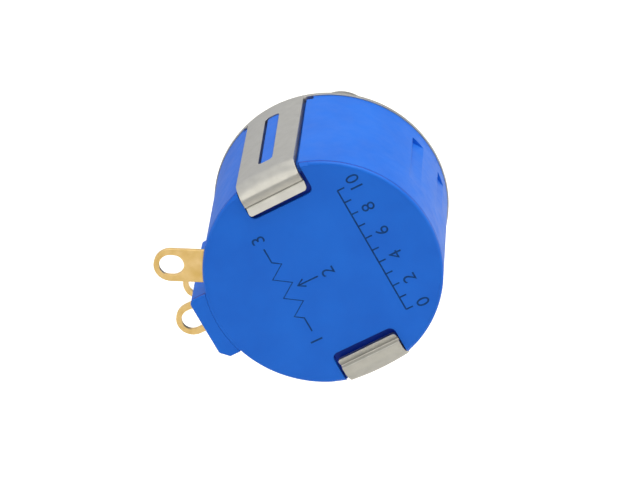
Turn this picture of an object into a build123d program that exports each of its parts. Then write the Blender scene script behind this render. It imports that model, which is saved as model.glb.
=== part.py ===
"""Ten-turn wirewound potentiometer for a panel, with solder lugs.

The shaft lies along +Y. The panel side of the front plate is at y = 0, the body fills the space
behind it, and one spring strap runs along the top, at +Z. The terminal block is at -X.
Sizes are in millimetres. A depth is a distance behind the panel side, toward -Y.
"""

import os
from math import cos, pi, radians, sin

from build123d import *

os.makedirs("parts", exist_ok=True)

# Body
body_radius = 11.0
body_length = 17.0
side_wall = 1.1
front_wall = 1.8
cover_edge = 0.45
cover_spigot = 0.65
cover_bevel = 0.3
seam_break = 0.12

# Front plate and its two spring straps
plate_overhang = 0.11
plate_thickness = 0.6
strap_thickness = 0.5
strap_width = 5.95
strap_root_fillet = 0.45
strap_slot_width = 1.5
strap_slot_start = 2.7
strap_slot_rear_land = 3.05
strap_slot_corner = 0.45
strap_gap = 0.05
channel_side_gap = 0.14
channel_relief = 0.6
slot_key_gap = 0.1
hook_bend_radius = 1.3
hook_bend_sides = 3
hook_stand_off = 0.3
hook_flat_inset = 1.56
hook_valley_inset = 2.16
hook_lip_inset = 3.01
hook_lip_rise = 0.42
hook_valley_fillet = 0.3
hook_tail_corner = 0.3

# Recess in the rear cover for each hook
recess_end_gap = 0.55
recess_side_gap = 0.22
recess_corner = 0.6
recess_mouth_round = 0.8

# Bushing and shaft
bushing_radius = 4.7625
bushing_length = 7.92
bushing_flange_radius = 5.6
bushing_stake_radius = 5.0
bushing_chamfer = 0.4
thread_depth = 0.45
thread_grooves = 4
thread_groove_width = 0.8
shaft_radius = 3.175
shaft_reach = 21.2
shaft_chamfer = 0.8
shaft_slot_width = 1.2
shaft_slot_depth = 1.6
shaft_seat_radius = 2.7
grease_groove_radius = 2.95
grease_groove_width = 0.6
ring_groove_radius = 2.55
pivot_radius = 1.5
pivot_length = 1.4
running_gap = 0.02
seat_gap = 0.01

# Thrust washer and retaining ring behind the bushing
washer_radius = 5.0
washer_thickness = 0.3
washer_bore_gap = 0.05
ring_radius = 4.3
ring_thickness = 0.5
ring_opening = 2.4
end_play = 0.05

# Wound element, bent in short straight sides
turns = 10
coil_sides = 20
wire_size = 0.6
coil_start = 3.75

# Rotor, rail and slip ring
rotor_coil_gap = 1.89
rotor_end_gap = 0.15
rotor_rear_space = 0.8
rotor_slot_width = 3.4
rotor_slot_depth = 2.8
rail_width = 1.4
rail_thickness = 0.25
slip_ring_width = 2.2
slip_ring_inset = 1.0
slip_ring_thickness = 0.25

# Carriage and its contacts
carriage_length = 1.4
carriage_side_gap = 0.05
carriage_floor_gap = 0.45
carriage_coil_gap = 0.55
fork_width = 1.6
fork_thickness = 0.22
contact_thickness = 0.12
contact_width = 0.5
contact_half_span = 1.0
contact_foot = 0.45
contact_gap = 0.05

# Spring washer at the rotor's rear end
spring_inner = 1.9
spring_outer = 3.6
spring_thickness = 0.2

# Solder lugs
lug_reach = 4.5
lug_width = 3.15
lug_thickness = 0.4
lug_hole_margin = 1.65
lug_hole_length = 2.3
lug_hole_width = 2.0
ccw_lug_depth = 4.5
cw_lug_from_rear = 4.4
wiper_lug_angle = 150.0
wiper_lug_root = 2.9
lug_slot_gap = 0.02

# Terminal block
block_reach = 1.3
block_top = 3.1
block_bottom = 3.4
block_front_depth = 3.4
block_bottom_chamfer = 0.8
block_top_round = 0.5

# End taps
tap_width = 1.0
tap_thickness = 0.2
tap_reach = 0.25
tap_foot = 0.6
tap_side_gap = 0.1

# Slip ring brush
brush_width = 1.6
brush_thickness = 0.12
brush_base_start = 1.1
brush_base_end = 2.5
brush_tip_length = 0.55
brush_tip_lift = 0.2
brush_bend = 0.4
brush_gap = 0.05

# Moulded pockets in the side, each with its deep side toward +Z
pocket_edges = ((9.0, 17.0), (-13.0, -5.0))
pocket_start = 2.8
pocket_from_rear = 4.5
pocket_depth = 0.55

# Places worked out from the sizes above
seam_depth = body_length - cover_edge
cavity_end = seam_depth - cover_spigot
cavity_start = plate_thickness + front_wall
bore_radius = body_radius - side_wall
plate_radius = body_radius + plate_overhang
strap_slot_end = body_length - strap_slot_rear_land
channel_floor = plate_radius - strap_thickness - strap_gap
channel_half = strap_width / 2 + channel_side_gap
hook_rear = body_length + hook_stand_off
hook_flat_end = plate_radius - hook_flat_inset
hook_valley = plate_radius - hook_valley_inset
hook_lip_end = plate_radius - hook_lip_inset
hook_seat = seam_depth + strap_thickness
bend_centre_radius = plate_radius - hook_bend_radius
bend_centre_depth = hook_rear - hook_bend_radius
recess_end = hook_lip_end - recess_end_gap
recess_half = strap_width / 2 + recess_side_gap
ring_start = cavity_start + washer_thickness + end_play
ring_end = ring_start + ring_thickness
rotor_start = ring_end + end_play
rotor_end = cavity_end - rotor_rear_space
coil_end = rotor_end - rotor_end_gap - carriage_length / 2
pitch = (coil_end - coil_start) / turns
coil_radius = bore_radius - wire_size / 2 - seat_gap
coil_inner = coil_radius - wire_size / 2
coil_flat_inner = coil_radius * cos(pi / coil_sides) - wire_size / 2
rotor_radius = coil_inner - rotor_coil_gap
rotor_slot_floor = rotor_radius - rotor_slot_depth
slip_ring_outer = rotor_radius - slip_ring_inset
slip_ring_inner = slip_ring_outer - slip_ring_width
slip_ring_middle = (slip_ring_inner + slip_ring_outer) / 2
slip_ring_end = rotor_end + slip_ring_thickness
carriage_top = coil_inner - carriage_coil_gap
rail_top = rotor_slot_floor + rail_thickness
carriage_bottom = rail_top + carriage_floor_gap
cw_lug_depth = body_length - cw_lug_from_rear
wiper_lug_depth = seam_depth - lug_thickness
wiper_lug_inner = bore_radius - wiper_lug_root
lug_tip = body_radius + lug_reach
lug_hole_centre = lug_tip - lug_hole_margin
block_face = body_radius + block_reach
brush_tip_radius = slip_ring_middle - brush_tip_length
pocket_end = body_length - pocket_from_rear
thread_end = bushing_length - bushing_chamfer
lug_inner = bore_radius + tap_reach
tap_groove = lug_inner + tap_thickness


def behind(depth):
    """Plane across the shaft at a depth, facing the rear, with its x along +X and its y along +Z."""
    return Plane.XZ.offset(depth)


def at_angle(radius, angle):
    """Point across the shaft at a radius, with the angle from +X toward +Z."""
    return Vector(radius, 0).rotate(Axis.Z, angle)


def radial_plane(angle):
    """Plane through the shaft's axis, with its x outward at an angle and its y along the shaft."""
    across = radians(angle)
    return Plane(
        origin=(0, 0, 0),
        x_dir=(cos(across), 0, sin(across)),
        z_dir=(-sin(across), 0, cos(across)),
    )


def save(builder, name):
    """Label a finished piece and write it."""
    builder.part.label = name
    export_step(builder.part, f"parts/{name}.step")


# Strap: the round part that follows the body and is folded in over the rear edge in short steps
with BuildPart() as strap_sheet:
    with BuildSketch(Plane.XY):
        with BuildLine():
            bend_centre = Vector(bend_centre_radius, -bend_centre_depth)
            bend = (
                bend_centre + at_angle(hook_bend_radius, -90 * side / hook_bend_sides)
                for side in range(hook_bend_sides + 1)
            )
            Polyline((plate_radius, 0), *bend, (bore_radius / 2, -hook_rear))
            offset(amount=strap_thickness, side=Side.RIGHT)
        make_face()
    revolve(axis=Axis.Y)

with BuildPart() as strap:
    with BuildSketch(Plane.XY) as strap_outline:
        with Locations((0, -plate_thickness / 2)):
            Rectangle(strap_width + 3 * strap_root_fillet, plate_thickness)
        with Locations((0, -hook_rear / 2)):
            Rectangle(strap_width, hook_rear)
        roots = strap_outline.vertices().filter_by(
            lambda corner: abs(abs(corner.X) - strap_width / 2) < seat_gap and corner.Y > -body_radius / 2
        )
        fillet(roots, strap_root_fillet)
        with Locations((0, -(strap_slot_start + strap_slot_end) / 2)):
            RectangleRounded(
                strap_slot_width,
                strap_slot_end - strap_slot_start,
                strap_slot_corner,
                mode=Mode.SUBTRACT,
            )
    extrude(amount=plate_radius)
    add(strap_sheet.part, mode=Mode.INTERSECT)
    split(bisect_by=Plane.XY.offset(hook_flat_end), keep=Keep.TOP)

# Strap hook: a straight valley that presses on the rear cover, and a lip turned out
with BuildPart() as hook:
    with BuildSketch(Plane.YZ):
        with BuildLine():
            FilletPolyline(
                (-hook_rear, hook_flat_end),
                (-hook_seat, hook_valley),
                (-hook_seat - hook_lip_rise, hook_lip_end),
                radius=hook_valley_fillet,
            )
            offset(amount=strap_thickness, side=Side.LEFT)
        make_face()
    extrude(amount=strap_width / 2, both=True)
    tail_corners = hook.faces().sort_by(Axis.Z)[0].edges().filter_by(Axis.X, reverse=True)
    fillet(tail_corners, hook_tail_corner)

# Front plate, stamped with both straps from one sheet
with BuildPart() as front_plate:
    with BuildSketch(behind(0)):
        Circle(plate_radius)
        Circle(bushing_stake_radius + seat_gap, mode=Mode.SUBTRACT)
    extrude(amount=plate_thickness)
    for piece in (strap.part, hook.part):
        add(piece)
        mirror(piece, about=Plane.XY)
save(front_plate, "front_plate")

# Bushing, staked into the plate with its flange in the housing's front wall. Plain grooves with
# the thread's depth stand for its fine thread
groove_spacing = thread_end / thread_grooves

with BuildPart() as bushing:
    with BuildSketch(Plane.XY):
        with BuildLine():
            Polyline(
                (shaft_radius + running_gap, bushing_length),
                (bushing_radius - bushing_chamfer, bushing_length),
                (bushing_radius, thread_end),
                (bushing_radius, 0),
                (bushing_stake_radius, 0),
                (bushing_stake_radius, -plate_thickness),
                (bushing_flange_radius, -plate_thickness),
                (bushing_flange_radius, -cavity_start),
                (shaft_radius + running_gap, -cavity_start),
                close=True,
            )
        make_face()
        for groove in range(thread_grooves):
            middle = (groove + 0.5) * groove_spacing
            with BuildLine():
                Polyline(
                    (bushing_radius, middle - thread_groove_width / 2),
                    (bushing_radius - thread_depth, middle),
                    (bushing_radius, middle + thread_groove_width / 2),
                    close=True,
                )
            make_face(mode=Mode.SUBTRACT)
    revolve(axis=Axis.Y)
save(bushing, "bushing")

# Shaft with its slotted end, a grease groove in the bushing's mouth, the ring's groove, the rotor's
# seat and the rear pivot
grease_groove_start = bushing_length - grease_groove_width

with BuildPart() as shaft:
    with BuildSketch(Plane.XY):
        with BuildLine():
            Polyline(
                (0, shaft_reach),
                (shaft_radius - shaft_chamfer, shaft_reach),
                (shaft_radius, shaft_reach - shaft_chamfer),
                (shaft_radius, bushing_length),
                (grease_groove_radius, bushing_length),
                (grease_groove_radius, grease_groove_start),
                (shaft_radius, grease_groove_start),
                (shaft_radius, -ring_start),
                (ring_groove_radius, -ring_start),
                (ring_groove_radius, -ring_end),
                (shaft_seat_radius, -ring_end),
                (shaft_seat_radius, -rotor_end),
                (pivot_radius, -rotor_end),
                (pivot_radius, -rotor_end - pivot_length),
                (0, -rotor_end - pivot_length),
                close=True,
            )
        make_face()
    revolve(axis=Axis.Y)
    with BuildSketch(behind(-shaft_reach)):
        Rectangle(shaft_slot_width, 2 * shaft_radius)
    extrude(amount=shaft_slot_depth, mode=Mode.SUBTRACT)
save(shaft, "shaft")

# Thrust washer behind the bushing
with BuildPart() as thrust_washer:
    with BuildSketch(behind(cavity_start)):
        Circle(washer_radius)
        Circle(shaft_radius + washer_bore_gap, mode=Mode.SUBTRACT)
    extrude(amount=washer_thickness)
save(thrust_washer, "thrust_washer")

# Open retaining ring in the shaft's groove
with BuildPart() as retaining_ring:
    with BuildSketch(behind(ring_start)):
        Circle(ring_radius)
        Circle(ring_groove_radius + seat_gap, mode=Mode.SUBTRACT)
        with Locations((ring_radius, 0)):
            Rectangle(2 * ring_radius, ring_opening, mode=Mode.SUBTRACT)
    extrude(amount=ring_thickness)
save(retaining_ring, "retaining_ring")

# Space of a strap: all that lies outside its inner face, with room for the root fillets, apart
# from a key that stands in the strap's slot
channel_corner = channel_floor - bend_centre_radius

with BuildPart() as channel_core:
    with BuildSketch(Plane.XY):
        with BuildLine():
            Polyline(
                (0, 0),
                (channel_floor, 0),
                (channel_floor, -bend_centre_depth),
                (bend_centre_radius, -bend_centre_depth - channel_corner),
                (0, -bend_centre_depth - channel_corner),
                close=True,
            )
        make_face()
    revolve(axis=Axis.Y)

with BuildPart() as channel:
    with BuildSketch(Plane.XY) as channel_outline:
        with Locations((0, -body_length / 2)):
            Rectangle(2 * channel_half, body_length)
        with Locations((0, -(plate_thickness + channel_relief) / 2)):
            Rectangle(2 * (channel_half + channel_relief), plate_thickness + channel_relief)
        with Locations((0, -(strap_slot_start + strap_slot_end) / 2)):
            RectangleRounded(
                strap_slot_width - 2 * slot_key_gap,
                strap_slot_end - strap_slot_start - 2 * slot_key_gap,
                strap_slot_corner - slot_key_gap,
                mode=Mode.SUBTRACT,
            )
    extrude(amount=2 * body_radius)
    add(channel_core.part, mode=Mode.SUBTRACT)


def terminal_block():
    """Block for the end lugs, with a rounded top corner and a bevelled bottom one."""
    with BuildPart() as block:
        with BuildSketch(behind(block_front_depth)) as outline:
            with BuildLine():
                Polyline(
                    (-bore_radius, block_top),
                    (-block_face, block_top),
                    (-block_face, -block_bottom),
                    (-bore_radius, -block_bottom),
                    close=True,
                )
            make_face()
            outer = outline.vertices().group_by(Axis.X)[0].sort_by(Axis.Y)
            chamfer(outer[0], block_bottom_chamfer)
            outer = outline.vertices().group_by(Axis.X)[0].sort_by(Axis.Y)
            fillet(outer[-1], block_top_round)
        extrude(amount=body_length - block_front_depth)
        chamfer(block.faces().sort_by(Axis.Y)[0].edges().group_by(Axis.X)[0], seam_break)
    return block.part


def side_pocket(low_angle, high_angle):
    """Pocket with a flat step toward the front, running out toward the rear."""
    with BuildPart() as pocket:
        for depth, cut in ((pocket_start, pocket_depth), (pocket_end, 0)):
            with BuildSketch(behind(depth)):
                with BuildLine():
                    Polyline(
                        at_angle(body_radius, low_angle),
                        at_angle(body_radius - cut, high_angle),
                        at_angle(body_radius + pocket_depth, high_angle),
                        at_angle(body_radius + pocket_depth, low_angle),
                        close=True,
                    )
                make_face()
        loft()
    return pocket.part


# Housing: the moulded cup with its block, channels, pockets and lug slots
with BuildPart() as housing:
    with BuildSketch(behind(plate_thickness)):
        Circle(body_radius)
    extrude(amount=seam_depth - plate_thickness)
    seam_rim = housing.edges().filter_by(GeomType.CIRCLE).sort_by(Axis.Y)[0]
    chamfer(seam_rim, seam_break)
    add(terminal_block())
    with BuildSketch(behind(seam_depth)):
        Circle(body_radius + seat_gap)
    extrude(amount=cover_edge, mode=Mode.SUBTRACT)
    with BuildSketch(behind(cavity_start)):
        Circle(bore_radius)
    extrude(amount=seam_depth - cavity_start, mode=Mode.SUBTRACT)
    with BuildSketch(behind(plate_thickness)):
        Circle(bushing_flange_radius + seat_gap)
    extrude(amount=front_wall, mode=Mode.SUBTRACT)
    add(channel.part, mode=Mode.SUBTRACT)
    mirror(channel.part, about=Plane.XY, mode=Mode.SUBTRACT)
    for low_angle, high_angle in pocket_edges:
        add(side_pocket(low_angle, high_angle), mode=Mode.SUBTRACT)
    for depth in (ccw_lug_depth, cw_lug_depth):
        with BuildSketch(behind(depth - lug_slot_gap)):
            with Locations((-(lug_inner + lug_tip) / 2, 0)):
                Rectangle(lug_tip - lug_inner, lug_width + 2 * lug_slot_gap)
        extrude(amount=lug_thickness + 2 * lug_slot_gap, mode=Mode.SUBTRACT)
    for tap_start, tap_end in (
        (coil_start - tap_foot / 2, ccw_lug_depth + lug_thickness),
        (cw_lug_depth, coil_end + tap_foot / 2),
    ):
        with BuildSketch(behind(tap_start - tap_side_gap)):
            with Locations((-(bore_radius / 2 + tap_groove) / 2, 0)):
                Rectangle(tap_groove - bore_radius / 2, tap_width + 2 * tap_side_gap)
        extrude(amount=tap_end - tap_start + 2 * tap_side_gap, mode=Mode.SUBTRACT)
    with BuildSketch(behind(wiper_lug_depth)):
        with Locations(at_angle((wiper_lug_inner + lug_tip) / 2, wiper_lug_angle)):
            Rectangle(
                lug_tip - wiper_lug_inner, lug_width + 2 * lug_slot_gap, rotation=wiper_lug_angle
            )
    extrude(amount=lug_thickness, mode=Mode.SUBTRACT)
save(housing, "housing")

# Rear cover: disc, spigot, hook recesses, pivot bearing and the wiper lug's slot
with BuildPart() as rear_cover:
    with BuildSketch(behind(seam_depth)):
        Circle(body_radius)
    extrude(amount=cover_edge)
    rear_rim = rear_cover.edges().filter_by(GeomType.CIRCLE).sort_by(Axis.Y)[0]
    chamfer(rear_rim, cover_bevel)
    with BuildSketch(behind(cavity_end)):
        Circle(bore_radius - seat_gap)
    extrude(amount=cover_spigot)
    with BuildSketch(behind(seam_depth)) as recess:
        Circle(2 * body_radius)
        Circle(body_radius, mode=Mode.SUBTRACT)
        with Locations((0, recess_end), (0, -recess_end - body_radius)):
            Rectangle(2 * recess_half, body_radius, align=(Align.CENTER, Align.MIN))
        corners = recess.vertices().filter_by(
            lambda corner: abs(abs(corner.X) - recess_half) < seat_gap
        )
        inner_reach = (recess_end + body_radius) / 2
        fillet(corners.filter_by(lambda corner: abs(corner.Y) < inner_reach), recess_corner)
        fillet(corners.filter_by(lambda corner: abs(corner.Y) > inner_reach), recess_mouth_round)
    extrude(amount=cover_edge, mode=Mode.SUBTRACT)
    with BuildSketch(behind(cavity_end)):
        with Locations(at_angle((brush_tip_radius + bore_radius) / 2, wiper_lug_angle)):
            Rectangle(
                bore_radius - brush_tip_radius,
                lug_width + 2 * lug_slot_gap,
                rotation=wiper_lug_angle,
            )
    extrude(amount=cover_spigot, mode=Mode.SUBTRACT)
    with BuildSketch(behind(cavity_end)):
        Circle(pivot_radius + running_gap)
    extrude(amount=rotor_end + pivot_length + end_play - cavity_end, mode=Mode.SUBTRACT)
save(rear_cover, "rear_cover")


def solder_lug(inner_radius, angle, depth):
    """Flat lug with a round end and a long hole."""
    end_centre = lug_tip - lug_width / 2
    with BuildPart() as lug:
        with BuildSketch(behind(depth)):
            with Locations(at_angle((inner_radius + end_centre) / 2, angle)):
                Rectangle(end_centre - inner_radius, lug_width, rotation=angle)
            with Locations(at_angle(end_centre, angle)):
                Circle(lug_width / 2)
            with Locations(at_angle(lug_hole_centre, angle)):
                SlotOverall(
                    lug_hole_length, lug_hole_width, rotation=angle, mode=Mode.SUBTRACT
                )
        extrude(amount=lug_thickness)
    return lug


save(solder_lug(lug_inner, 180, ccw_lug_depth), "terminal_ccw")
save(solder_lug(lug_inner, 180, cw_lug_depth), "terminal_cw")
save(solder_lug(wiper_lug_inner, wiper_lug_angle, wiper_lug_depth), "terminal_wiper")


def end_tap(foot_depth, lug_face):
    """Strip in the wall from a lug's flat side to the coil's end, with a foot on the coil."""
    far_end = foot_depth + tap_foot / 2 if foot_depth > lug_face else foot_depth - tap_foot / 2
    with BuildPart() as tap:
        with BuildSketch(Plane.XY):
            with BuildLine():
                Polyline(
                    (-tap_groove, -lug_face),
                    (-tap_groove, -far_end),
                    (-bore_radius, -far_end),
                    (-bore_radius, -2 * foot_depth + far_end),
                    (-lug_inner, -2 * foot_depth + far_end),
                    (-lug_inner, -lug_face),
                    close=True,
                )
            make_face()
        extrude(amount=tap_width / 2, both=True)
    return tap


save(end_tap(coil_start, ccw_lug_depth), "end_tap_ccw")
save(end_tap(coil_end, cw_lug_depth + lug_thickness), "end_tap_cw")

# Wound element: a right-hand helix of ten turns that runs one side past each end tap
coil_side_count = turns * coil_sides + 2
coil_side_lead = pitch / coil_sides
coil_first_angle = radians(180 - 360 / coil_sides)
coil_frame = Plane(
    origin=(0, coil_side_lead - coil_start, 0),
    x_dir=(cos(coil_first_angle), 0, sin(coil_first_angle)),
    z_dir=(0, -1, 0),
)

with BuildPart() as coil_turns:
    helix = Helix(pitch, coil_side_count * coil_side_lead, coil_radius, mode=Mode.PRIVATE)
    for corner in range(coil_side_count + 1):
        along = corner / coil_side_count
        outward = at_angle(1, corner * 360 / coil_sides)
        with BuildSketch(Plane(origin=helix @ along, x_dir=outward, z_dir=helix % along)):
            Rectangle(wire_size, wire_size)
    loft(ruled=True)

with BuildPart(coil_frame) as resistance_coil:
    add(coil_turns.part)
save(resistance_coil, "resistance_coil")

# Rotor drum with the carriage's slot
with BuildPart() as rotor:
    with BuildSketch(behind(rotor_start)):
        Circle(rotor_radius)
        Circle(shaft_seat_radius + seat_gap, mode=Mode.SUBTRACT)
        with Locations((-rotor_slot_floor, 0)):
            Rectangle(
                rotor_radius, rotor_slot_width, align=(Align.MAX, Align.CENTER), mode=Mode.SUBTRACT
            )
    extrude(amount=rotor_end - rotor_start)
save(rotor, "rotor")

# Collector rail on the slot's floor
with BuildPart() as collector_rail:
    with BuildSketch(behind(rotor_start)):
        with Locations((-rotor_slot_floor, 0)):
            Rectangle(rail_thickness, rail_width, align=(Align.MAX, Align.CENTER))
    extrude(amount=rotor_end - rotor_start)
save(collector_rail, "collector_rail")

# Slip ring on the rotor's rear face, over the end of the rail
with BuildPart() as slip_ring:
    with BuildSketch(behind(rotor_end)):
        Circle(slip_ring_outer)
        Circle(slip_ring_inner, mode=Mode.SUBTRACT)
    extrude(amount=slip_ring_thickness)
save(slip_ring, "slip_ring")

# Carriage: a block in the slot with a fork over one turn of the coil
carriage_half_width = rotor_slot_width / 2 - carriage_side_gap
fork_side_gap = (pitch - wire_size - fork_thickness) / 2
fork_centre = (wire_size + fork_thickness) / 2 + fork_side_gap

with BuildPart() as carriage:
    with BuildSketch(behind(coil_start - carriage_length / 2)):
        with Locations((-carriage_bottom, 0)):
            Rectangle(
                carriage_top - carriage_bottom,
                2 * carriage_half_width,
                align=(Align.MAX, Align.CENTER),
            )
    extrude(amount=carriage_length)
    for side in (-1, 1):
        with BuildSketch(behind(coil_start + side * fork_centre - fork_thickness / 2)):
            with Locations((-carriage_bottom, 0)):
                Rectangle(
                    coil_radius - carriage_bottom, fork_width, align=(Align.MAX, Align.CENTER)
                )
        extrude(amount=fork_thickness)
save(carriage, "carriage")


def bowed_contact(seat, touch):
    """Spring strip on one face of the carriage, bowed toward what it touches."""
    reach = touch - seat
    outward = 1 if reach > 0 else -1
    crown = touch - outward * contact_thickness
    foot_end = contact_half_span + contact_foot
    with BuildPart() as contact:
        with BuildSketch(behind(coil_start - contact_width / 2)):
            with BuildLine():
                Line((-seat, -foot_end), (-seat, -contact_half_span))
                ThreePointArc((-seat, -contact_half_span), (-crown, 0), (-seat, contact_half_span))
                Line((-seat, contact_half_span), (-seat, foot_end))
                offset(amount=contact_thickness, side=Side.LEFT if outward > 0 else Side.RIGHT)
            make_face()
        extrude(amount=contact_width)
    return contact


save(bowed_contact(carriage_top, coil_flat_inner - contact_gap), "coil_contact")
save(bowed_contact(carriage_bottom, rail_top + contact_gap), "rail_contact")

# Brush from the wiper lug to the slip ring
brush_touch_depth = slip_ring_end + brush_gap + brush_thickness

with BuildPart() as slip_ring_brush:
    with BuildSketch(radial_plane(wiper_lug_angle)):
        with BuildLine():
            FilletPolyline(
                (bore_radius - brush_base_start, -wiper_lug_depth),
                (bore_radius - brush_base_end, -wiper_lug_depth),
                (slip_ring_middle, -brush_touch_depth),
                (brush_tip_radius, -brush_touch_depth - brush_tip_lift),
                radius=brush_bend,
            )
            offset(amount=brush_thickness, side=Side.RIGHT)
        make_face()
    extrude(amount=brush_width / 2, both=True)
save(slip_ring_brush, "slip_ring_brush")

# Dished spring washer between the rotor and the rear cover
with BuildPart() as spring_washer:
    with BuildSketch(Plane.XY):
        with BuildLine():
            Polyline(
                (spring_inner, -rotor_end - end_play),
                (spring_outer, -cavity_end + spring_thickness),
                (spring_outer, -cavity_end),
                (spring_inner, -rotor_end - end_play - spring_thickness),
                close=True,
            )
        make_face()
    revolve(axis=Axis.Y)
save(spring_washer, "spring_washer")
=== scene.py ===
"""Looks, light and camera for the multiturn potentiometer.

Lengths are in millimetres and are turned into metres where Blender takes them. The shaft lies
along +Y, the panel side of the front plate is at y = 0 and the rear cover's face is at y = -17.
"""

from math import asin, cos, pi, radians, sin, tan

import bmesh
import bpy
from mathutils import Matrix, Vector


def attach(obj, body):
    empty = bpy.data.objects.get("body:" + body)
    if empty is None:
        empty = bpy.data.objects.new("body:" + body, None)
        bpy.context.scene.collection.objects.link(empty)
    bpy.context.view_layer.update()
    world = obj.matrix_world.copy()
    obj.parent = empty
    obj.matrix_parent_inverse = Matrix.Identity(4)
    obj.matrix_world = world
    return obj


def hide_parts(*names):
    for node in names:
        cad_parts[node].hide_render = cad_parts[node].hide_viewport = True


MM = 0.001

# Shading: the angle from which an edge is sharp, and the samples that soften edges
sharp_angle = 32.0
bevel_samples = 6

# Camera, from the ellipses of the rear rim and the plate in the photograph
image_width = 640
focal_pixels = 4197.3134
sensor_width = 36.0
camera_aim = (1.3886, -17.0, 3.0718)
camera_azimuth = 14.147
camera_elevation = 19.202
camera_roll = -30.307
camera_distance = 380.843
camera_reach = 10000.0

# Thread of the bushing, 32 to the inch
thread_pitch = 0.79375
thread_radius = 4.7625
thread_root = 4.3
thread_start = 0.8
thread_end = 7.92
thread_crest_share = 0.16
thread_root_share = 0.2
thread_flank_share = (1.0 - thread_crest_share - thread_root_share) / 2
thread_chamfer = 0.45
thread_steps = 96
relief_radius = 4.25
bushing_bore = 3.195
bushing_rear = -2.4
flange_radius = 5.6
flange_front = -0.6
stake_radius = 5.0
weld_distance = 0.002

# Front plate and its two straps, one sheet turned a little in the housing's channels
plate_radius = 11.11
plate_thickness = 0.6
plate_edge = 0.2
plate_bore = 5.01
plate_turn = -0.7
sheet_thickness = 0.5
strap_half = 2.975
strap_root = 0.45
strap_tip_corner = 0.3
strap_end_round = 0.5
slot_half = 0.75
slot_start = 2.7
slot_end = 13.95
slot_corner = 0.45
bend_depth = 16.0
bend_reach = 1.3
bend_turn = 50.0
crease_height = 9.75
hook_profile = ((17.3, 9.08), (16.97, 8.87), (17.18, 8.56), (17.47, 8.1))
hook_rounding = 0.09

# How finely the plate and its straps are divided, and how far the straps start inside the plate
root_overlap = 0.02
plate_steps = 144
corner_steps = 4
root_steps = 5
plain_steps = 3
slot_steps = 12
end_steps = 4
bend_steps = 16
tip_steps = 5
sheet_columns = 10
slot_columns = 4
row_tolerance = 0.001

# Rounded edge of the rear cover, from its chamfer outward, and the joint with the housing, with
# the half width of the shadow line painted along it
cover_radius = 11.0
cover_depth = 17.0
cover_rounding = 0.3
seam_depth = 16.6
seam_shadow_half = 0.11
recess_reach = 4.0
recess_taper = 0.35
block_top = 3.1
block_bottom = -3.4
square_power = 0.12
rim_steps = 90
rim_columns = 6
rim_overlap = 0.03
rim_sink = 0.06

# Marks on the rear face
rear_face = -cover_depth
ink_height = 0.012
ink_stroke = 0.075
stroke_rounding = 2
digit_size = 1.75
symbol_x = -3.6
symbol_half = 3.1
symbol_rise = 0.75
symbol_lead = 1.5
symbol_peaks = 6
arrow_gap = 0.25
arrow_length = 2.1
barb_length = 0.7
barb_half = 0.4
lead_number_gap = 1.0
number_gap = 1.1
scale_x = 5.1
scale_half = 6.6
scale_turns = 10
numbered_turns = 2
tick_length = 0.7

# Floor
floor_height = -45.0
floor_size = 900.0
floor_colour = (0.93, 0.93, 0.93, 1)
floor_roughness = 0.9
floor_lift = 0.35

# White surroundings: darker and warmer below, brightest toward bright_side
bright_side = (-0.1, 0.0, 1.0)
room_light = 0.5
room_low = 0.3
room_middle = 0.55
room_high = 0.8
room_dark = (0.46, 0.4, 0.26, 1)
room_level = (0.62, 0.62, 0.63, 1)
room_bright = (1, 1, 1, 1)

# Soft lamps: name, place, width and power
lamp_colour = (1.0, 0.95, 0.79)
lamps = (
    ("key_light", (210, 10, 300), 430, 1.4),
    ("back_light", (-70, -280, 170), 170, 0.095),
    ("side_light", (-260, -120, 90), 180, 0.18),
    ("fill_light", (260, -40, 140), 200, 0.2),
)


def colour(red, green, blue):
    """Linear colour of three screen values from 0 to 255, by the usual curve of a screen."""
    linear = []
    for value in (red, green, blue):
        share = value / 255
        linear.append(share / 12.92 if share <= 0.04045 else ((share + 0.055) / 1.055) ** 2.4)
    return (*linear, 1.0)


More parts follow.
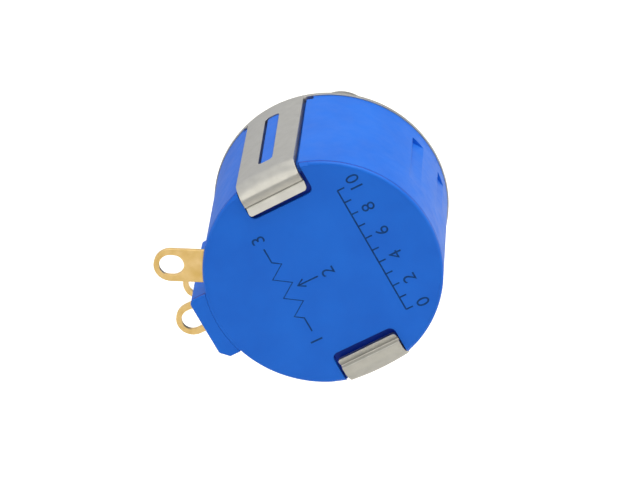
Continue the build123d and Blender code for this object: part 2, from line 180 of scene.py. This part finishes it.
class Surface:
    """A material under construction: its node tree, its shader and short ways to add nodes."""

    def __init__(self, name, **shader):
        self.material = bpy.data.materials.new(name)
        self.material.use_nodes = True
        self.tree = self.material.node_tree
        self.shader = self.tree.nodes["Principled BSDF"]
        self.set(**shader)
        self.place = self.tree.nodes.new("ShaderNodeTexCoord").outputs["Object"]

    def set(self, **sockets):
        """Plain numbers and colours on the shader's own sockets."""
        for name, value in sockets.items():
            self.shader.inputs[name.replace("_", " ")].default_value = value

    def link(self, value, socket):
        """Feed a node's result into one of the shader's sockets."""
        self.tree.links.new(value, self.shader.inputs[socket])

    def noise(self, scale, detail=3.0, stretch=(1, 1, 1)):
        """Noise with its scale per millimetre, stretched along the axes whose factor is small."""
        mapping = self.tree.nodes.new("ShaderNodeMapping")
        mapping.inputs["Scale"].default_value = [factor / MM for factor in stretch]
        texture = self.tree.nodes.new("ShaderNodeTexNoise")
        texture.inputs["Scale"].default_value = scale
        texture.inputs["Detail"].default_value = detail
        self.tree.links.new(self.place, mapping.inputs["Vector"])
        self.tree.links.new(mapping.outputs["Vector"], texture.inputs["Vector"])
        return texture.outputs["Fac"]

    def ramp(self, value, low, high, start=0.3, end=0.7):
        """Colours from low to high as a value goes from start to end."""
        ramp = self.tree.nodes.new("ShaderNodeValToRGB")
        ramp.color_ramp.elements[0].position = start
        ramp.color_ramp.elements[0].color = low
        ramp.color_ramp.elements[1].position = end
        ramp.color_ramp.elements[1].color = high
        self.tree.links.new(value, ramp.inputs["Fac"])
        return ramp.outputs["Color"]

    def span(self, value, low, high, start=0.25, end=0.75):
        """Numbers from low to high as a value goes from start to end."""
        node = self.tree.nodes.new("ShaderNodeMapRange")
        node.inputs["From Min"].default_value = start
        node.inputs["From Max"].default_value = end
        node.inputs["To Min"].default_value = low
        node.inputs["To Max"].default_value = high
        self.tree.links.new(value, node.inputs["Value"])
        return node.outputs["Result"]

    def seam(self, skin, shade):
        """Skin colour with a painted shadow line along the joint where the rear cover meets the
        housing.
        """
        parts = self.tree.nodes.new("ShaderNodeSeparateXYZ")
        self.tree.links.new(self.place, parts.inputs["Vector"])
        line = self.tree.nodes.new("ShaderNodeMath")
        line.operation = "COMPARE"
        line.inputs[1].default_value = -seam_depth * MM
        line.inputs[2].default_value = seam_shadow_half * MM
        self.tree.links.new(parts.outputs["Y"], line.inputs[0])
        mixed = self.tree.nodes.new("ShaderNodeMix")
        mixed.data_type = "RGBA"
        mixed.inputs["B"].default_value = shade
        self.tree.links.new(line.outputs["Value"], mixed.inputs["Factor"])
        self.tree.links.new(skin, mixed.inputs["A"])
        return mixed.outputs["Result"]

    def paint(self, value, low, high):
        """Base colour that varies between two colours."""
        self.link(self.ramp(value, low, high), "Base Color")

    def roughen(self, value, smooth, rough):
        """Roughness that varies between two levels."""
        self.link(self.span(value, smooth, rough), "Roughness")

    def relief(self, heights, edge=0.0):
        """Bumps from pairs of a height and its depth in millimetres, over softened edges."""
        normal = None
        if edge:
            bevel = self.tree.nodes.new("ShaderNodeBevel")
            bevel.samples = bevel_samples
            bevel.inputs["Radius"].default_value = edge * MM
            normal = bevel.outputs["Normal"]
        for height, depth in heights:
            bump = self.tree.nodes.new("ShaderNodeBump")
            bump.inputs["Distance"].default_value = depth * MM
            self.tree.links.new(height, bump.inputs["Height"])
            if normal:
                self.tree.links.new(normal, bump.inputs["Normal"])
            normal = bump.outputs["Normal"]
        self.link(normal, "Normal")


def moulded_blue():
    """Blue moulded plastic with a satin skin, faint clouds, a fine grain and a painted shadow
    line at the joint.
    """
    surface = Surface("moulded_blue", Specular_IOR_Level=0.3)
    surface.set(Specular_Tint=(0.8, 1, 0.9, 1))
    clouds = surface.noise(scale=0.22, detail=4.0)
    satin = surface.noise(scale=0.9, detail=5.0)
    waves = surface.noise(scale=0.35, detail=2.0)
    grain = surface.noise(scale=9.0, detail=2.0)
    skin = surface.ramp(clouds, colour(8, 94, 209), colour(14, 102, 218))
    # Painted shade: a dark band along the joint between the rear cover and the housing
    surface.link(surface.seam(skin, colour(0, 46, 168)), "Base Color")
    surface.roughen(satin, 0.44, 0.56)
    surface.relief([(waves, 0.015), (grain, 0.004)], edge=0.09)
    return surface.material


def rolled_steel():
    """Grey spring steel, faintly clouded, with fine rolling streaks along the straps."""
    surface = Surface("rolled_steel", Metallic=1.0)
    clouds = surface.noise(scale=1.3, detail=5.0)
    satin = surface.noise(scale=1.1, detail=4.0)
    streaks = surface.noise(scale=4.0, detail=4.0, stretch=(1, 0.08, 1))
    waves = surface.noise(scale=0.5)
    surface.paint(clouds, colour(174, 173, 169), colour(182, 181, 177))
    surface.roughen(satin, 0.3, 0.42)
    surface.relief([(streaks, 0.001), (waves, 0.005)], edge=0.05)
    return surface.material


def nickel_plate():
    """Bright nickel plate with fine turning rings."""
    surface = Surface("nickel_plate", Metallic=1.0)
    rings = surface.noise(scale=9.0, detail=2.0, stretch=(0.03, 1, 0.03))
    wear = surface.noise(scale=0.8)
    surface.paint(rings, colour(162, 157, 145), colour(190, 186, 175))
    surface.roughen(wear, 0.2, 0.36)
    surface.relief([(rings, 0.003)], edge=0.05)
    return surface.material


def ground_steel():
    """Ground stainless bar with rings round the shaft."""
    surface = Surface("ground_steel", Metallic=1.0)
    rings = surface.noise(scale=14.0, stretch=(0.02, 1, 0.02))
    wear = surface.noise(scale=0.7)
    surface.paint(rings, colour(140, 139, 136), colour(168, 166, 161))
    surface.roughen(wear, 0.22, 0.34)
    surface.relief([(rings, 0.003)], edge=0.06)
    return surface.material


def gold_plate():
    """Satin gold plate over stamped sheet."""
    surface = Surface("gold_plate", Metallic=1.0)
    clouds = surface.noise(scale=0.9, detail=4.0)
    satin = surface.noise(scale=2.5, detail=4.0)
    grain = surface.noise(scale=6.0)
    surface.paint(clouds, colour(216, 181, 110), colour(233, 202, 144))
    surface.roughen(satin, 0.32, 0.46)
    surface.relief([(grain, 0.004)], edge=0.06)
    return surface.material


def dark_moulding():
    """Dark glass-filled plastic of the rotor."""
    surface = Surface("dark_moulding", Specular_IOR_Level=0.4)
    grain = surface.noise(scale=3.0, detail=5.0)
    surface.paint(grain, colour(28, 28, 32), colour(44, 44, 48))
    surface.roughen(grain, 0.5, 0.65)
    surface.relief([(grain, 0.01)], edge=0.06)
    return surface.material


def pale_moulding():
    """Ivory plastic of the carriage."""
    surface = Surface("pale_moulding", Specular_IOR_Level=0.45)
    grain = surface.noise(scale=3.0, detail=4.0)
    surface.paint(grain, colour(214, 208, 190), colour(232, 227, 212))
    surface.roughen(grain, 0.4, 0.55)
    surface.relief([(grain, 0.008)], edge=0.04)
    return surface.material


def wound_wire():
    """Fine resistance wire, wound side by side round the element."""
    surface = Surface("wound_wire", Metallic=1.0)
    wraps = surface.noise(scale=11.0, detail=2.0)
    surface.paint(wraps, colour(132, 98, 62), colour(196, 156, 104))
    surface.roughen(wraps, 0.3, 0.5)
    surface.relief([(wraps, 0.02)])
    return surface.material


def contact_strip():
    """Polished precious metal strip of the contacts."""
    surface = Surface("contact_strip", Metallic=1.0)
    streaks = surface.noise(scale=4.0, stretch=(1, 0.1, 1))
    wear = surface.noise(scale=1.5)
    surface.paint(streaks, colour(206, 178, 118), colour(230, 206, 150))
    surface.roughen(wear, 0.18, 0.3)
    surface.relief([(streaks, 0.003)], edge=0.03)
    return surface.material


def printed_ink():
    """Dark blue-green marking ink, thin enough for the blue to come through here and there."""
    surface = Surface("printed_ink", Specular_IOR_Level=0.15)
    patches = surface.noise(scale=2.4, detail=4.0)
    grain = surface.noise(scale=8.0)
    surface.paint(patches, colour(2, 44, 96), colour(6, 66, 132))
    surface.roughen(patches, 0.5, 0.7)
    surface.relief([(grain, 0.004)])
    return surface.material


def mesh_piece(name, mesh, material, body):
    """New object from a bmesh, smooth shaded, riding on a body."""
    data = bpy.data.meshes.new(name)
    mesh.to_mesh(data)
    mesh.free()
    data.shade_smooth()
    data.set_sharp_from_angle(angle=radians(sharp_angle))
    piece = bpy.data.objects.new(name, data)
    bpy.context.scene.collection.objects.link(piece)
    data.materials.append(material)
    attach(piece, body)
    return piece


def ring_vertex(mesh, radius, along, angle):
    """New vertex at a radius from the shaft's axis, a place along it and an angle toward -Z."""
    return mesh.verts.new((radius * cos(angle) * MM, along * MM, -radius * sin(angle) * MM))


def ring_rows(mesh, profile, steps):
    """Closed ring about the shaft from a closed profile of (radius, along) points."""
    rings = []
    for radius, along in profile:
        angles = [2 * pi * step / steps for step in range(steps)]
        rings.append([ring_vertex(mesh, radius, along, angle) for angle in angles])
    for lower, upper in zip(rings, rings[1:] + rings[:1]):
        for step in range(steps):
            after = (step + 1) % steps
            mesh.faces.new((lower[step], lower[after], upper[after], upper[step]))


def rounded(points, radius, steps):
    """Points of a line whose inner corners are rounded by a radius."""
    line = [points[0]]
    for before, corner, after in zip(points, points[1:], points[2:]):
        corner = Vector(corner)
        back = (Vector(before) - corner).normalized()
        ahead = (Vector(after) - corner).normalized()
        half = back.angle(ahead) / 2
        middle = corner + (back + ahead).normalized() * (radius / sin(half))
        start = (corner + back * (radius / tan(half)) - middle).normalized()
        end = (corner + ahead * (radius / tan(half)) - middle).normalized()
        for step in range(steps + 1):
            line.append(tuple(middle + radius * start.slerp(end, step / steps)))
    line.append(points[-1])
    return line


def spread(start, end, steps):
    """Evenly spaced values from start to end."""
    return [start + (end - start) * step / steps for step in range(steps + 1)]


def quarter(steps):
    """Angles from nothing to a quarter turn."""
    return [pi / 2 * step / steps for step in range(steps + 1)]


def strap_depths():
    """Depths of the rows along the straight strap, closer where its outline curves."""
    corner = [slot_corner * (1 - cos(angle)) for angle in quarter(corner_steps)]
    root_end = plate_thickness + strap_root
    depths = spread(plate_thickness - root_overlap, root_end, root_steps)
    depths += spread(root_end, slot_start, plain_steps)[1:-1]
    depths += [slot_start + reach for reach in corner]
    depths += spread(slot_start + slot_corner, slot_end - slot_corner, slot_steps)[1:-1]
    depths += [slot_end - reach for reach in reversed(corner)]
    depths += spread(slot_end, bend_depth, end_steps)[1:]
    return depths


def bend_stations():
    """Rows over the bend, from the end of the straight strap to the crease above the hook."""
    stations = []
    bend_rise = plate_radius - crease_height
    last_turn = radians(bend_turn)
    for share in spread(0, 1, bend_steps)[1:]:
        turn = last_turn * share
        depth = bend_depth + bend_reach * sin(turn) / sin(last_turn)
        height = plate_radius - bend_rise * (1 - cos(turn)) / (1 - cos(last_turn))
        stations.append((depth, height, strap_end_round * cos(pi / 2 * share)))
    return stations


def hook_stations():
    """Rows down the hook, from its flat over the short wall and the valley to the lip's tip."""
    tail = [(bend_depth + bend_reach, crease_height), *hook_profile]
    line = rounded(tail, hook_rounding, corner_steps)[1:-1]
    last_depth, last_height = hook_profile[-1]
    start_depth, start_height = line[-1]
    reach = start_height - last_height
    for angle in quarter(tip_steps)[1:]:
        share = 1 - (strap_tip_corner / reach) * (1 - sin(angle))
        depth = start_depth + (last_depth - start_depth) * share
        height = start_height + (last_height - start_height) * share
        line.append((depth, height))
    return [(depth, height, 0.0) for depth, height in line]


def strap_stations():
    """Depth and height of the strap's outer face along its middle, and how round it is across."""
    stations = []
    for depth in strap_depths():
        flattened = (1 - strap_end_round) * depth / bend_depth
        stations.append((depth, plate_radius, 1 - flattened))
    return stations + bend_stations() + hook_stations()


def strap_width_at(depth, height):
    """Half the strap's width, wider at its root and rounded at the corners of its tip."""
    half = strap_half
    past_root = depth - plate_thickness
    if past_root < strap_root:
        inside = min(strap_root, strap_root - past_root)
        half += strap_root - (strap_root**2 - inside**2) ** 0.5
    from_tip = height - hook_profile[-1][1]
    if from_tip < strap_tip_corner:
        inside = strap_tip_corner - from_tip
        half -= strap_tip_corner - max(strap_tip_corner**2 - inside**2, 0.0) ** 0.5
    return half


def slot_width_at(depth):
    """Half the slot's width, narrower in the rounded corners at its ends."""
    into = min(depth - slot_start, slot_end - depth)
    if into < 0 or into >= slot_corner:
        return slot_half
    inside = slot_corner - into
    return slot_half - slot_corner + (slot_corner**2 - inside**2) ** 0.5


def sheet_back(line):
    """Inner face of the folded sheet for each (depth, height) of its outer face."""
    hook_back = bend_depth + bend_reach - sheet_thickness
    back = []
    for depth, height in line:
        if depth <= bend_depth:
            back.append((depth, height - sheet_thickness))
        elif height > crease_height:
            rise = (height - crease_height) / (plate_radius - crease_height)
            reach = (depth - bend_depth) / bend_reach
            back.append((depth - sheet_thickness * reach, height - sheet_thickness * rise))
        else:
            back.append((max(depth - sheet_thickness, hook_back), height))
    return back


def strap_faces(side):
    """Points of the strap's outer and inner face, row by row along it."""
    stations = strap_stations()
    back = sheet_back([(depth, height) for depth, height, _ in stations])
    outer = []
    inner = []
    for (depth, height, roundness), (back_depth, back_height) in zip(stations, back):
        half = strap_width_at(depth, height)
        gap = slot_width_at(depth)
        across = spread(-half, -gap, sheet_columns)
        across += spread(-gap, gap, slot_columns)[1:-1]
        across += spread(gap, half, sheet_columns)
        outer_row = []
        inner_row = []
        for place in across:
            drop = roundness * (plate_radius - (plate_radius**2 - place**2) ** 0.5)
            outer_row.append((place, -depth, side * (height - drop)))
            inner_row.append((place, -back_depth, side * (back_height - drop)))
        outer.append(outer_row)
        inner.append(inner_row)
    return outer, inner


def strap_cells():
    """Row and column of each patch of the strap, with the slot left open."""
    depths = [depth for depth, _, _ in strap_stations()]
    in_slot = range(sheet_columns, sheet_columns + slot_columns)
    cells = set()
    for row, (depth, next_depth) in enumerate(zip(depths, depths[1:])):
        past_start = depth > slot_start - row_tolerance
        before_end = next_depth < slot_end + row_tolerance
        for column in range(2 * sheet_columns + slot_columns):
            if not (past_start and before_end and column in in_slot):
                cells.add((row, column))
    return cells


def strap_sheet(mesh, side):
    """One strap and its hook as a thick sheet with its slot, above the shaft or below it."""
    outer, inner = [
        [[mesh.verts.new(Vector(point) * MM) for point in row] for row in face]
        for face in strap_faces(side)
    ]
    cells = strap_cells()
    for row, column in sorted(cells):
        corners = [(row, column), (row, column + 1), (row + 1, column + 1), (row + 1, column)]
        beside = [(row - 1, column), (row, column + 1), (row + 1, column), (row, column - 1)]
        mesh.faces.new([outer[line][place] for line, place in corners])
        mesh.faces.new([inner[line][place] for line, place in reversed(corners)])
        for start, end, neighbour in zip(corners, corners[1:] + corners[:1], beside):
            if neighbour not in cells:
                wall = [outer[line][place] for line, place in (start, end)]
                wall += [inner[line][place] for line, place in (end, start)]
                mesh.faces.new(wall)


def stamped_plate(material):
    """Front plate with both straps, the hooks folded over the rear cover."""
    mesh = bmesh.new()
    profile = [(plate_bore, -plate_thickness), (plate_radius, -plate_thickness)]
    for angle in quarter(corner_steps):
        radius = plate_radius - plate_edge * (1 - cos(angle))
        profile.append((radius, -plate_edge * (1 - sin(angle))))
    profile.append((plate_bore, 0.0))
    ring_rows(mesh, profile, plate_steps)
    for side in (1, -1):
        strap_sheet(mesh, side)
    loose = [vertex for vertex in mesh.verts if not vertex.link_faces]
    bmesh.ops.delete(mesh, geom=loose, context="VERTS")
    bmesh.ops.recalc_face_normals(mesh, faces=mesh.faces)
    turned = Matrix.Rotation(radians(plate_turn), 3, "Y")
    bmesh.ops.rotate(mesh, cent=(0, 0, 0), matrix=turned, verts=mesh.verts)
    piece = mesh_piece("stamped_plate", mesh, material, "case")
    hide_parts("front_plate")


def rim_section(power, fullness):
    """Closed section of the cover's edge as (radius, depth) points.

    Fullness takes it from the plain chamfer to a round, and a small power makes the round square.
    """
    section = []
    for angle in quarter(rim_columns):
        flat = angle / (pi / 2) * cover_rounding
        round_out = cover_rounding * max(cos(angle), 0.0) ** power
        round_back = cover_rounding * sin(angle) ** power
        out = (1 - fullness) * (cover_rounding - flat) + fullness * round_out
        back = (1 - fullness) * flat + fullness * round_back
        section.append((cover_radius - cover_rounding + out, cover_depth - cover_rounding + back))
    section.append((cover_radius - cover_rounding - rim_overlap, cover_depth - rim_sink))
    section.append((cover_radius - rim_sink, cover_depth - cover_rounding - rim_overlap))
    return section


def cover_rim(material, name, start, end):
    """Rounded edge of the rear cover along one arc, square where the terminal block meets it.

    The angles of its start and end run from +X toward +Z.
    """
    mesh = bmesh.new()
    rows = []
    for angle in spread(start, end, rim_steps):
        height = cover_radius * sin(angle)
        beside_block = cos(angle) < 0 and block_bottom < height < block_top
        power = square_power if beside_block else 1.0
        from_end = min(angle - start, end - angle) * cover_radius
        row = []
        for radius, depth in rim_section(power, min(from_end / recess_taper, 1.0)):
            row.append(ring_vertex(mesh, radius, -depth, -angle))
        rows.append(row)
    for lower, upper in zip(rows, rows[1:]):
        for place, vertex in enumerate(lower):
            after = (place + 1) % len(lower)
            mesh.faces.new((vertex, lower[after], upper[after], upper[place]))
    mesh.faces.new(rows[0])
    mesh.faces.new(rows[-1])
    bmesh.ops.recalc_face_normals(mesh, faces=mesh.faces)
    mesh_piece(name, mesh, material, "case")


def cover_rims(material):
    """The cover's edge on both sides of the hooks."""
    mouth = asin(recess_reach / cover_radius)
    cover_rim(material, "cover_edge_right", mouth - pi / 2, pi / 2 - mouth)
    cover_rim(material, "cover_edge_left", pi / 2 + mouth, 3 * pi / 2 - mouth)


def thread_height(along, turn):
    """Radius of the thread at a place along the axis and a share of a turn."""
    phase = ((along - thread_start) / thread_pitch - turn) % 1.0
    crest_start = thread_root_share + thread_flank_share
    if phase < thread_root_share:
        share = 0.0
    elif phase < crest_start:
        share = (phase - thread_root_share) / thread_flank_share
    elif phase < crest_start + thread_crest_share:
        share = 1.0
    else:
        share = (1.0 - phase) / thread_flank_share
    radius = thread_root + (thread_radius - thread_root) * share
    chamfer_limit = thread_radius + thread_end - along - thread_chamfer
    lead_limit = thread_radius + along - thread_start - thread_chamfer
    return min(radius, chamfer_limit, lead_limit)


def bushing_rows():
    """Rings of the bushing from its bore at the rear round to its bore at the front.

    A ring of the thread ends one pitch further along than it starts, where the next one begins,
    so every ring has one place more than it has steps.
    """
    crest_start = thread_root_share + thread_flank_share
    knots = (0.0, thread_root_share, crest_start, 1.0 - thread_flank_share)
    plain_rear = (
        (bushing_bore, bushing_rear),
        (flange_radius, bushing_rear),
        (flange_radius, flange_front),
        (stake_radius, flange_front),
        (stake_radius, 0.0),
        (relief_radius, 0.0),
        (relief_radius, thread_start),
    )
    columns = thread_steps + 1
    rows = [[(radius, along)] * columns for radius, along in plain_rear]
    last_turn = int((thread_end - thread_start) / thread_pitch) + 1
    for turn_number in range(-1, last_turn + 1):
        for knot in knots:
            row = []
            for step in range(columns):
                turn = step / thread_steps
                along = thread_start + (turn_number + knot + turn) * thread_pitch
                along = min(max(along, thread_start), thread_end)
                row.append((thread_height(along, turn), along))
            rows.append(row)
    rows.append([(bushing_bore, thread_end)] * columns)
    return rows


def threaded_bushing(material):
    """Bushing with its real helical thread, relief groove and staked flange."""
    mesh = bmesh.new()
    rings = []
    for row in bushing_rows():
        ring = []
        for step, (radius, along) in enumerate(row):
            ring.append(ring_vertex(mesh, radius, along, 2 * pi * step / thread_steps))
        rings.append(ring)
    for lower, upper in zip(rings, rings[1:] + rings[:1]):
        for step in range(thread_steps):
            after = step + 1
            mesh.faces.new((lower[step], lower[after], upper[after], upper[step]))
    bmesh.ops.remove_doubles(mesh, verts=mesh.verts, dist=weld_distance * MM)
    bmesh.ops.recalc_face_normals(mesh, faces=mesh.faces)
    piece = mesh_piece("threaded_bushing", mesh, material, "case")
    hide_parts("bushing")


def stroke_piece(name, strokes, material):
    """Thin printed strokes on the rear face, each a list of (x, z) points."""
    data = bpy.data.curves.new(name, "CURVE")
    data.dimensions = "3D"
    data.bevel_depth = ink_stroke * MM
    data.bevel_resolution = stroke_rounding
    data.use_fill_caps = True
    for stroke in strokes:
        spline = data.splines.new("POLY")
        spline.points.add(len(stroke) - 1)
        for point, (across, up) in zip(spline.points, stroke):
            point.co = (across * MM, 0, up * MM, 1)
    piece = bpy.data.objects.new(name, data)
    bpy.context.scene.collection.objects.link(piece)
    piece.location = (0, rear_face * MM, 0)
    piece.scale = (1, ink_height / ink_stroke, 1)
    data.materials.append(material)
    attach(piece, "case")


def number_piece(number, across, along, material):
    """A plain printed number whose line of writing runs toward +Z, with its top toward -X."""
    data = bpy.data.curves.new(f"mark_{number}", "FONT")
    data.body = str(number)
    data.size = digit_size * MM
    data.extrude = ink_height / 2 * MM
    data.align_x = "CENTER"
    data.align_y = "CENTER"
    piece = bpy.data.objects.new(f"print_{number}_{len(bpy.data.curves)}", data)
    bpy.context.scene.collection.objects.link(piece)
    writing = Matrix(((0, -1, 0), (0, 0, -1), (1, 0, 0))).to_4x4()
    piece.matrix_world = Matrix.Translation(Vector((across, rear_face, along)) * MM) @ writing
    data.materials.append(material)
    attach(piece, "case")


def resistor_symbol(material):
    """Circuit symbol of a potentiometer with the numbers of its three terminals."""
    lead_end = symbol_half + symbol_lead
    zigzag = [(symbol_x, -lead_end), (symbol_x, -symbol_half)]
    for peak in range(symbol_peaks):
        side = 1 if peak % 2 else -1
        along = -symbol_half + (peak + 0.5) * 2 * symbol_half / symbol_peaks
        zigzag.append((symbol_x + side * symbol_rise, along))
    zigzag += [(symbol_x, symbol_half), (symbol_x, lead_end)]
    arrow_tip = symbol_x + symbol_rise + arrow_gap
    arrow_tail = arrow_tip + arrow_length
    barb_end = arrow_tip + barb_length
    arrow = [(arrow_tail, 0), (arrow_tip, 0)]
    barbs = [(barb_end, -barb_half), (arrow_tip, 0), (barb_end, barb_half)]
    stroke_piece("circuit_symbol", (zigzag, arrow, barbs), material)
    number_piece(1, symbol_x, -lead_end - lead_number_gap, material)
    number_piece(3, symbol_x, lead_end + lead_number_gap, material)
    number_piece(2, arrow_tail + number_gap, 0, material)


def turn_scale(material):
    """Plain scale of the ten turns, with a number at every other one."""
    tick_end = scale_x + tick_length
    strokes = [[(scale_x, -scale_half), (scale_x, scale_half)]]
    for turn in range(scale_turns + 1):
        along = -scale_half + turn * 2 * scale_half / scale_turns
        strokes.append([(scale_x, along), (tick_end, along)])
        if turn % numbered_turns == 0:
            number_piece(turn, tick_end + number_gap, along, material)
    stroke_piece("turn_scale", strokes, material)


def pale_floor():
    """Plain pale floor, lifted to white where the camera sees it without a shadow."""
    mesh = bmesh.new()
    bmesh.ops.create_grid(mesh, x_segments=1, y_segments=1, size=floor_size / 2 * MM)
    data = bpy.data.meshes.new("floor")
    mesh.to_mesh(data)
    mesh.free()
    floor = bpy.data.objects.new("floor", data)
    bpy.context.scene.collection.objects.link(floor)
    floor.location = (0, 0, floor_height * MM)
    paper = bpy.data.materials.new("pale_floor")
    paper.use_nodes = True
    nodes = paper.node_tree.nodes
    shader = nodes["Principled BSDF"]
    shader.inputs["Base Color"].default_value = floor_colour
    shader.inputs["Roughness"].default_value = floor_roughness
    shader.inputs["Emission Color"].default_value = (1, 1, 1, 1)
    path = nodes.new("ShaderNodeLightPath")
    lift = nodes.new("ShaderNodeMath")
    lift.operation = "MULTIPLY"
    lift.inputs[1].default_value = floor_lift
    paper.node_tree.links.new(path.outputs["Is Camera Ray"], lift.inputs[0])
    paper.node_tree.links.new(lift.outputs["Value"], shader.inputs["Emission Strength"])
    data.materials.append(paper)


def room_shades(tree):
    """Colour of the surroundings in each direction, from dark below to bright above."""
    direction = tree.nodes.new("ShaderNodeTexCoord")
    toward_bright = tree.nodes.new("ShaderNodeVectorMath")
    toward_bright.operation = "DOT_PRODUCT"
    toward_bright.inputs[1].default_value = Vector(bright_side).normalized()
    tree.links.new(direction.outputs["Generated"], toward_bright.inputs[0])
    share = tree.nodes.new("ShaderNodeMapRange")
    share.inputs["From Min"].default_value = -1
    tree.links.new(toward_bright.outputs["Value"], share.inputs["Value"])
    shades = tree.nodes.new("ShaderNodeValToRGB")
    stops = shades.color_ramp.elements
    stops[0].position = room_low
    stops[0].color = room_dark
    stops[1].position = room_high
    stops[1].color = room_bright
    stops.new(room_middle).color = room_level
    tree.links.new(share.outputs["Result"], shades.inputs["Fac"])
    return shades.outputs["Color"]


def white_room():
    """Surroundings that the camera sees as plain white and that light the object softly."""
    world = bpy.data.worlds.new("white_room")
    bpy.context.scene.world = world
    world.use_nodes = True
    tree = world.node_tree
    background = tree.nodes["Background"]
    path = tree.nodes.new("ShaderNodeLightPath")
    seen = tree.nodes.new("ShaderNodeMix")
    seen.data_type = "RGBA"
    seen.inputs["B"].default_value = (1, 1, 1, 1)
    tree.links.new(path.outputs["Is Camera Ray"], seen.inputs["Factor"])
    tree.links.new(room_shades(tree), seen.inputs["A"])
    tree.links.new(seen.outputs["Result"], background.inputs["Color"])
    level = tree.nodes.new("ShaderNodeMapRange")
    level.inputs["To Min"].default_value = 1.0
    level.inputs["To Max"].default_value = room_light
    tree.links.new(path.outputs["Is Diffuse Ray"], level.inputs["Value"])
    tree.links.new(level.outputs["Result"], background.inputs["Strength"])


def lamp(name, place, size, power):
    """Square soft lamp that faces the object."""
    data = bpy.data.lights.new(name, "AREA")
    data.size = size * MM
    data.energy = power
    data.color = lamp_colour
    light = bpy.data.objects.new(name, data)
    bpy.context.scene.collection.objects.link(light)
    place = Vector(place) * MM
    light.location = place
    light.rotation_euler = (-place).to_track_quat("-Z", "Y").to_euler()


def studio():
    """Pale floor, white surroundings and soft lamps."""
    bpy.context.scene.view_settings.view_transform = "Standard"
    pale_floor()
    white_room()
    for name, place, size, power in lamps:
        lamp(name, place, size, power)


def camera():
    """Camera at the photograph's viewing angle, rolled as the object lies in the picture."""
    turn = radians(camera_azimuth)
    rise = radians(camera_elevation)
    roll = radians(camera_roll)
    back = Vector((cos(rise) * sin(turn), -cos(rise) * cos(turn), sin(rise)))
    level = Vector((cos(turn), sin(turn), 0))
    upright = back.cross(level)
    right = level * cos(roll) + upright * sin(roll)
    up = back.cross(right)
    data = bpy.data.cameras.new("camera")
    data.sensor_width = sensor_width
    data.lens = focal_pixels / image_width * sensor_width
    data.clip_end = camera_reach * MM
    view = bpy.data.objects.new("camera", data)
    bpy.context.scene.collection.objects.link(view)
    place = (Vector(camera_aim) + back * camera_distance) * MM
    frame_axes = Matrix((right, up, back)).transposed().to_4x4()
    view.matrix_world = Matrix.Translation(place) @ frame_axes
    bpy.context.scene.camera = view


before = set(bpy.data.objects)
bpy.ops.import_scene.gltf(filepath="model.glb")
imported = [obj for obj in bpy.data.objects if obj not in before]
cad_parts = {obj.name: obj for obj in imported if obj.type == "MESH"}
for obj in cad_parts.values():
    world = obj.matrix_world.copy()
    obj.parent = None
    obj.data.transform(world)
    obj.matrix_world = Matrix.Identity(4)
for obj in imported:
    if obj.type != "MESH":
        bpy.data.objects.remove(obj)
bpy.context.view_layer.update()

finishes = {
    "blue_plastic": moulded_blue(),
    "spring_steel": rolled_steel(),
    "plated_brass": nickel_plate(),
    "stainless_steel": ground_steel(),
    "gold_plate": gold_plate(),
    "rotor_plastic": dark_moulding(),
    "carriage_plastic": pale_moulding(),
    "winding": wound_wire(),
    "contact_metal": contact_strip(),
}
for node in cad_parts.values():
    for slot in node.material_slots:
        slot.material = finishes[slot.material.name.split(".")[0]]

stamped_plate(finishes["spring_steel"])
cover_rims(finishes["blue_plastic"])
threaded_bushing(finishes["plated_brass"])
ink = printed_ink()
resistor_symbol(ink)
turn_scale(ink)
studio()
camera()
